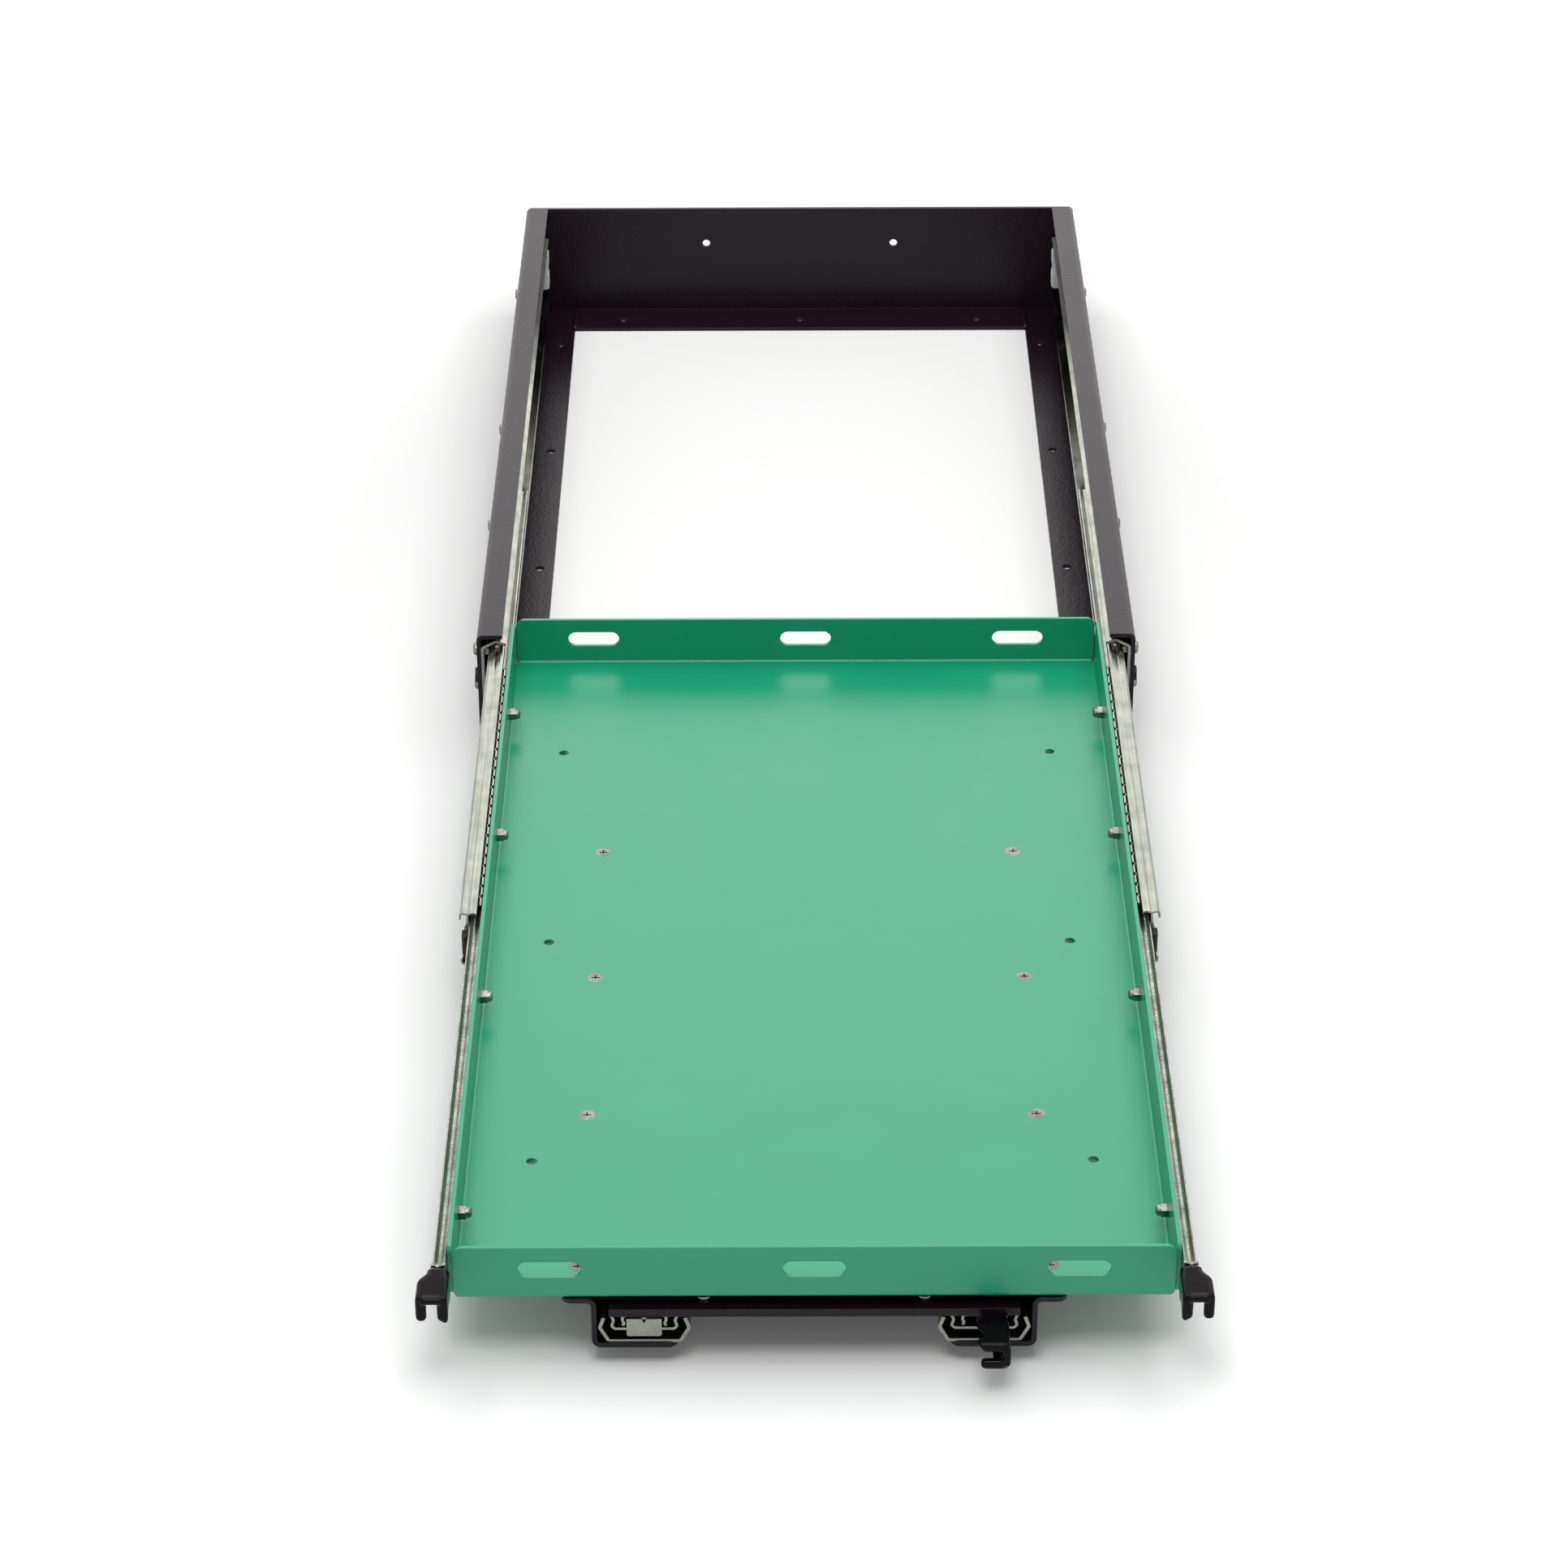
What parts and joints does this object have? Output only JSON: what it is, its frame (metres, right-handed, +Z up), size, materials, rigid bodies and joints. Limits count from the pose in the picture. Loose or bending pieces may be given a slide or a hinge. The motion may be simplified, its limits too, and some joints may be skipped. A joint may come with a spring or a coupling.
{
  "type": "fridge slide",
  "caption": "Pull-out fridge slide: shallow slotted tray on full-extension ball-bearing slides in a low folded steel base, with a stowed sliding table beneath.",
  "frame": {"origin": "on the floor plane, midway between the sides, at the front end of the base", "axes": "+Z up; the tray and the table pull out towards -Y; +X to the right seen from the front"},
  "size_m": [0.4664, 1.4835, 0.095],
  "materials": {
    "black_frame_coat": "fine-textured satin powder coat",
    "black_bracket_coat": "satin powder coat",
    "green_tray_coat": "smooth satin powder coat",
    "black_table_coat": "semi-gloss powder coat",
    "pale_buffer_plastic": "matte moulded",
    "dark_cage_steel": "oiled dark steel strip",
    "zinc_small_steel": "zinc plated",
    "black_dipped_grip": "glossy dipped vinyl",
    "black_rubber": "matte moulded rubber",
    "zinc_rail_steel": "zinc plated, rolled",
    "zinc_fasteners": "zinc plated"
  },
  "bodies": {
    "base": {"base_left_channel": "black_frame_coat", "base_right_channel": "black_frame_coat", "base_rear_panel": "black_frame_coat", "base_front_strap": "black_frame_coat", "base_weld_beads": "black_frame_coat", "side_outer_rail_left": "zinc_rail_steel", "side_outer_rail_right": "zinc_rail_steel", "rear_buffer_left": "pale_buffer_plastic", "rear_buffer_right": "pale_buffer_plastic", "rail_to_base_bolts": "zinc_fasteners", "rail_to_base_nuts": "zinc_fasteners"},
    "side_middle_left": {"side_middle_rail_left": "zinc_rail_steel", "side_bumper_left": "black_rubber"},
    "side_middle_right": {"side_middle_rail_right": "zinc_rail_steel", "side_bumper_right": "black_rubber"},
    "side_outer_cage_left_body": {"side_outer_cage_left": "dark_cage_steel"},
    "side_outer_cage_right_body": {"side_outer_cage_right": "dark_cage_steel"},
    "side_inner_cage_left_body": {"side_inner_cage_left": "dark_cage_steel"},
    "side_inner_cage_right_body": {"side_inner_cage_right": "dark_cage_steel"},
    "tray_assembly": {"tray": "green_tray_coat", "side_inner_rail_left": "zinc_rail_steel", "side_inner_rail_right": "zinc_rail_steel", "tray_side_bolts": "zinc_fasteners", "tray_cap_nuts": "zinc_fasteners", "side_lever_pivot_left": "zinc_small_steel", "side_lever_pivot_right": "zinc_small_steel", "side_lever_springs": "zinc_small_steel", "table_bracket_left": "black_bracket_coat", "table_bracket_right": "black_bracket_coat", "bracket_screws": "zinc_fasteners", "bracket_nuts": "zinc_fasteners", "table_outer_rail_left": "zinc_rail_steel", "table_outer_rail_right": "zinc_rail_steel", "table_rail_bolts": "zinc_fasteners", "table_rail_nuts": "zinc_fasteners"},
    "side_lever_left_body": {"side_lever_left": "black_dipped_grip"},
    "side_lever_right_body": {"side_lever_right": "black_dipped_grip"},
    "table_middle_left": {"table_middle_rail_left": "zinc_rail_steel"},
    "table_middle_right": {"table_middle_rail_right": "zinc_rail_steel"},
    "table_outer_cage_left_body": {"table_outer_cage_left": "dark_cage_steel"},
    "table_outer_cage_right_body": {"table_outer_cage_right": "dark_cage_steel"},
    "table_inner_cage_left_body": {"table_inner_cage_left": "dark_cage_steel"},
    "table_inner_cage_right_body": {"table_inner_cage_right": "dark_cage_steel"},
    "table_assembly": {"table_panel": "black_table_coat", "table_inner_rail_left": "zinc_rail_steel", "table_inner_rail_right": "zinc_rail_steel", "table_panel_screws": "zinc_fasteners", "table_panel_spacers": "zinc_fasteners", "table_panel_nuts": "zinc_fasteners", "table_front_bolts": "zinc_fasteners", "table_front_nuts": "zinc_fasteners", "table_lever_pivot": "zinc_small_steel", "table_lever_spring": "zinc_small_steel"},
    "table_lever_body": {"table_lever": "black_dipped_grip"}
  },
  "joints": [
    {"name": "tray_slide", "type": "slide", "parent": "base", "child": "tray_assembly", "axis": [0, 1, 0], "range_m": [0, 0.697]},
    {"name": "side_middle_slide_left", "type": "slide", "parent": "base", "child": "side_middle_left", "axis": [0, 1, 0], "range_m": [0, 0.3485]},
    {"name": "side_outer_cage_slide_left", "type": "slide", "parent": "base", "child": "side_outer_cage_left_body", "axis": [0, 1, 0], "range_m": [0, 0.17425]},
    {"name": "side_inner_cage_slide_left", "type": "slide", "parent": "base", "child": "side_inner_cage_left_body", "axis": [0, 1, 0], "range_m": [0, 0.52275]},
    {"name": "side_middle_slide_right", "type": "slide", "parent": "base", "child": "side_middle_right", "axis": [0, 1, 0], "range_m": [0, 0.3485]},
    {"name": "side_outer_cage_slide_right", "type": "slide", "parent": "base", "child": "side_outer_cage_right_body", "axis": [0, 1, 0], "range_m": [0, 0.17425]},
    {"name": "side_inner_cage_slide_right", "type": "slide", "parent": "base", "child": "side_inner_cage_right_body", "axis": [0, 1, 0], "range_m": [0, 0.52275]},
    {"name": "table_slide", "type": "slide", "parent": "tray_assembly", "child": "table_assembly", "axis": [0, -1, 0], "range_m": [0, 0.56]},
    {"name": "table_middle_slide_left", "type": "slide", "parent": "tray_assembly", "child": "table_middle_left", "axis": [0, -1, 0], "range_m": [0, 0.28]},
    {"name": "table_outer_cage_slide_left", "type": "slide", "parent": "tray_assembly", "child": "table_outer_cage_left_body", "axis": [0, -1, 0], "range_m": [0, 0.14]},
    {"name": "table_inner_cage_slide_left", "type": "slide", "parent": "tray_assembly", "child": "table_inner_cage_left_body", "axis": [0, -1, 0], "range_m": [0, 0.42]},
    {"name": "table_middle_slide_right", "type": "slide", "parent": "tray_assembly", "child": "table_middle_right", "axis": [0, -1, 0], "range_m": [0, 0.28]},
    {"name": "table_outer_cage_slide_right", "type": "slide", "parent": "tray_assembly", "child": "table_outer_cage_right_body", "axis": [0, -1, 0], "range_m": [0, 0.14]},
    {"name": "table_inner_cage_slide_right", "type": "slide", "parent": "tray_assembly", "child": "table_inner_cage_right_body", "axis": [0, -1, 0], "range_m": [0, 0.42]},
    {"name": "side_lever_hinge_left", "type": "hinge", "parent": "tray_assembly", "child": "side_lever_left_body", "pos_m": [-0.21275, -0.672, 0.0645], "axis": [1, 0, 0], "range_deg": [0, 6], "stiffness_Nm_per_rad": 0.4, "springref_deg": -11.46},
    {"name": "side_lever_hinge_right", "type": "hinge", "parent": "tray_assembly", "child": "side_lever_right_body", "pos_m": [0.21275, -0.672, 0.0645], "axis": [1, 0, 0], "range_deg": [0, 6], "stiffness_Nm_per_rad": 0.4, "springref_deg": -11.46},
    {"name": "table_lever_hinge", "type": "hinge", "parent": "table_assembly", "child": "table_lever_body", "pos_m": [0.0969, -0.664, 0.03075], "axis": [0, 0, -1], "range_deg": [0, 6], "stiffness_Nm_per_rad": 0.4, "springref_deg": -11.46}
  ],
  "couplings": [
    {"joint": "side_middle_slide_left", "follows": "tray_slide", "ratio": 0.5},
    {"joint": "side_outer_cage_slide_left", "follows": "tray_slide", "ratio": 0.25},
    {"joint": "side_inner_cage_slide_left", "follows": "tray_slide", "ratio": 0.75},
    {"joint": "side_middle_slide_right", "follows": "tray_slide", "ratio": 0.5},
    {"joint": "side_outer_cage_slide_right", "follows": "tray_slide", "ratio": 0.25},
    {"joint": "side_inner_cage_slide_right", "follows": "tray_slide", "ratio": 0.75},
    {"joint": "table_middle_slide_left", "follows": "table_slide", "ratio": 0.5},
    {"joint": "table_outer_cage_slide_left", "follows": "table_slide", "ratio": 0.25},
    {"joint": "table_inner_cage_slide_left", "follows": "table_slide", "ratio": 0.75},
    {"joint": "table_middle_slide_right", "follows": "table_slide", "ratio": 0.5},
    {"joint": "table_outer_cage_slide_right", "follows": "table_slide", "ratio": 0.25},
    {"joint": "table_inner_cage_slide_right", "follows": "table_slide", "ratio": 0.75}
  ]
}
